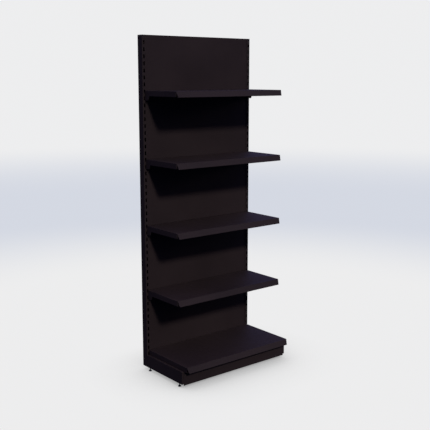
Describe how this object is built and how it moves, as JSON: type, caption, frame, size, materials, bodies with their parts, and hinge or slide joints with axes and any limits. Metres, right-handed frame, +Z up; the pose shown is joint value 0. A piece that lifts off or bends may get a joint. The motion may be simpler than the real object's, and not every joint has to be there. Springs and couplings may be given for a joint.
{
  "type": "wall gondola shelving bay",
  "caption": "Tall single-sided store shelving bay with slotted uprights, back panels, hooked sloping-lip shelves, a deeper base shelf, a kick plate and levelling feet.",
  "frame": {"origin": "middle of the bay's footprint, on the floor", "axes": "+Z up, +X to the right of someone facing the shelves, +Y towards the back"},
  "size_m": [1.03, 0.5678, 2.54],
  "materials": {
    "upright_paint": "black powder coat",
    "panel_paint": "black powder coat",
    "shelf_paint": "black powder coat",
    "bracket_paint": "black powder coat",
    "base_paint": "black powder coat",
    "zinc_plate": "bright zinc plate",
    "black_zinc": "black zinc plate",
    "black_plastic": "moulded, satin"
  },
  "bodies": {
    "frame": {"back_panel_1": "panel_paint", "back_panel_2": "panel_paint", "back_panel_3": "panel_paint", "back_panel_4": "panel_paint", "back_panel_5": "panel_paint", "base_leg_left": "base_paint", "base_leg_right": "base_paint", "foot_lock_nuts": "black_zinc", "kick_clip_left": "zinc_plate", "kick_clip_right": "zinc_plate", "leg_bolts": "black_zinc", "tie_beam_bottom": "base_paint", "tie_beam_middle": "base_paint", "tie_beam_top": "base_paint", "tie_bolts": "zinc_plate", "upright_cap_left": "black_plastic", "upright_cap_right": "black_plastic", "upright_left": "upright_paint", "upright_right": "upright_paint"},
    "base_shelf": {"base_shelf": "base_paint", "base_shelf_rails": "base_paint"},
    "kick_plate": {"kick_plate": "base_paint"},
    "bracket_pair_1": {"shelf_bracket_1_left": "bracket_paint", "shelf_bracket_1_right": "bracket_paint"},
    "tray_1": {"shelf_rail_1": "shelf_paint", "shelf_tray_1": "shelf_paint"},
    "bracket_pair_2": {"shelf_bracket_2_left": "bracket_paint", "shelf_bracket_2_right": "bracket_paint"},
    "tray_2": {"shelf_rail_2": "shelf_paint", "shelf_tray_2": "shelf_paint"},
    "bracket_pair_3": {"shelf_bracket_3_left": "bracket_paint", "shelf_bracket_3_right": "bracket_paint"},
    "tray_3": {"shelf_rail_3": "shelf_paint", "shelf_tray_3": "shelf_paint"},
    "bracket_pair_4": {"shelf_bracket_4_left": "bracket_paint", "shelf_bracket_4_right": "bracket_paint"},
    "tray_4": {"shelf_rail_4": "shelf_paint", "shelf_tray_4": "shelf_paint"},
    "foot_front_left": {"foot_pad_front_left": "black_plastic", "foot_stud_front_left": "black_zinc"},
    "foot_front_right": {"foot_pad_front_right": "black_plastic", "foot_stud_front_right": "black_zinc"},
    "foot_rear_left": {"foot_pad_rear_left": "black_plastic", "foot_stud_rear_left": "black_zinc"},
    "foot_rear_right": {"foot_pad_rear_right": "black_plastic", "foot_stud_rear_right": "black_zinc"}
  },
  "joints": [
    {"name": "shelf_1_tilt", "type": "hinge", "parent": "frame", "child": "bracket_pair_1", "pos_m": [0, 0.22595, 0.623], "axis": [-1, 0, 0], "range_deg": [0, 15]},
    {"name": "tray_1_lift", "type": "slide", "parent": "bracket_pair_1", "child": "tray_1", "axis": [0, -0.342, 0.9397], "range_m": [0, 0.06]},
    {"name": "shelf_2_tilt", "type": "hinge", "parent": "frame", "child": "bracket_pair_2", "pos_m": [0, 0.22595, 1.123], "axis": [-1, 0, 0], "range_deg": [0, 15]},
    {"name": "tray_2_lift", "type": "slide", "parent": "bracket_pair_2", "child": "tray_2", "axis": [0, -0.342, 0.9397], "range_m": [0, 0.06]},
    {"name": "shelf_3_tilt", "type": "hinge", "parent": "frame", "child": "bracket_pair_3", "pos_m": [0, 0.22595, 1.623], "axis": [-1, 0, 0], "range_deg": [0, 15]},
    {"name": "tray_3_lift", "type": "slide", "parent": "bracket_pair_3", "child": "tray_3", "axis": [0, -0.342, 0.9397], "range_m": [0, 0.06]},
    {"name": "shelf_4_tilt", "type": "hinge", "parent": "frame", "child": "bracket_pair_4", "pos_m": [0, 0.22595, 2.123], "axis": [-1, 0, 0], "range_deg": [0, 15]},
    {"name": "tray_4_lift", "type": "slide", "parent": "bracket_pair_4", "child": "tray_4", "axis": [0, -0.342, 0.9397], "range_m": [0, 0.06]},
    {"name": "base_shelf_lift", "type": "slide", "parent": "frame", "child": "base_shelf", "axis": [0, 0, 1], "range_m": [0, 0.06]},
    {"name": "kick_plate_pull", "type": "slide", "parent": "frame", "child": "kick_plate", "axis": [0, -1, 0], "range_m": [0, 0.025]},
    {"name": "foot_front_left_screw", "type": "slide", "parent": "frame", "child": "foot_front_left", "axis": [0, 0, -1], "range_m": [0, 0.015]},
    {"name": "foot_front_right_screw", "type": "slide", "parent": "frame", "child": "foot_front_right", "axis": [0, 0, -1], "range_m": [0, 0.015]},
    {"name": "foot_rear_left_screw", "type": "slide", "parent": "frame", "child": "foot_rear_left", "axis": [0, 0, -1], "range_m": [0, 0.015]},
    {"name": "foot_rear_right_screw", "type": "slide", "parent": "frame", "child": "foot_rear_right", "axis": [0, 0, -1], "range_m": [0, 0.015]}
  ]
}
